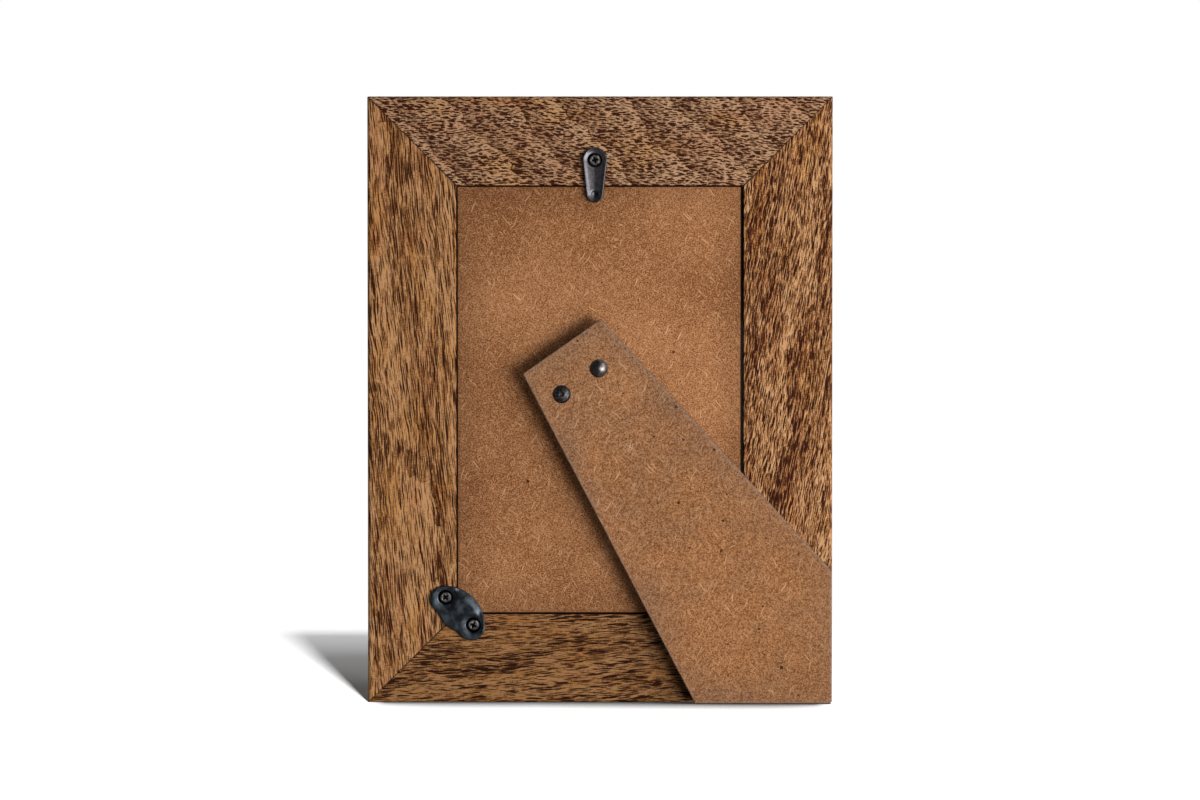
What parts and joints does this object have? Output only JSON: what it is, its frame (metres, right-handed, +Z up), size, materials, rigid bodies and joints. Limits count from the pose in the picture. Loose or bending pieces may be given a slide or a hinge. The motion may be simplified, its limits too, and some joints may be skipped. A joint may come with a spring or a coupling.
{
  "type": "easel back photo frame",
  "caption": "Mitred wooden photo frame with a board back held by a turn button and corner plates, and a hinged easel leg that props it upright or on its side.",
  "frame": {"origin": "on the table, at the middle of the bottom rail's underside, half way through its depth", "axes": "+Z up, +Y out of the back towards the easel leg, +X to the left as the back is seen"},
  "size_m": [0.1666, 0.0243, 0.2173],
  "materials": {
    "frame_wood": "oiled open-grain",
    "panel_board": "raw fibreboard",
    "leg_board": "raw fibreboard",
    "black_steel": "blackened",
    "rivet_steel": "blackened",
    "bright_steel": "bare",
    "clear_glass": "clear",
    "print_paper": "satin"
  },
  "bodies": {
    "frame": {"top_rail": "frame_wood", "bottom_rail": "frame_wood", "left_stile": "frame_wood", "right_stile": "frame_wood", "brad_bottom_left_1": "bright_steel", "brad_bottom_left_2": "bright_steel", "brad_bottom_right_1": "bright_steel", "brad_bottom_right_2": "bright_steel", "brad_top_left_1": "bright_steel", "brad_top_left_2": "bright_steel", "brad_top_right_1": "bright_steel", "brad_top_right_2": "bright_steel", "glass_pane": "clear_glass", "photo_insert": "print_paper", "back_panel": "panel_board", "corner_plate_left": "black_steel", "corner_plate_right": "black_steel", "turn_button_screw": "black_steel", "corner_plate_left_screw_outer": "black_steel", "corner_plate_left_screw_inner": "black_steel", "corner_plate_right_screw_outer": "black_steel", "corner_plate_right_screw_inner": "black_steel", "hinge_leaf_panel": "bright_steel", "hinge_pin": "bright_steel", "panel_rivet_left": "bright_steel", "panel_rivet_right": "bright_steel"},
    "leg": {"easel_leg": "leg_board", "hinge_leaf_leg": "bright_steel", "leg_rivet_left": "rivet_steel", "leg_rivet_right": "rivet_steel"},
    "button": {"turn_button": "black_steel"}
  },
  "joints": [
    {"name": "leg_hinge", "type": "hinge", "parent": "frame", "child": "leg", "pos_m": [0.01071, 0.0092, 0.12081], "axis": [0.8192, 0, -0.5736], "range_deg": [0, 28]},
    {"name": "button_swivel", "type": "hinge", "parent": "frame", "child": "button", "pos_m": [0.0019, 0.0076, 0.1946], "axis": [0, 1, 0], "continuous": true}
  ]
}
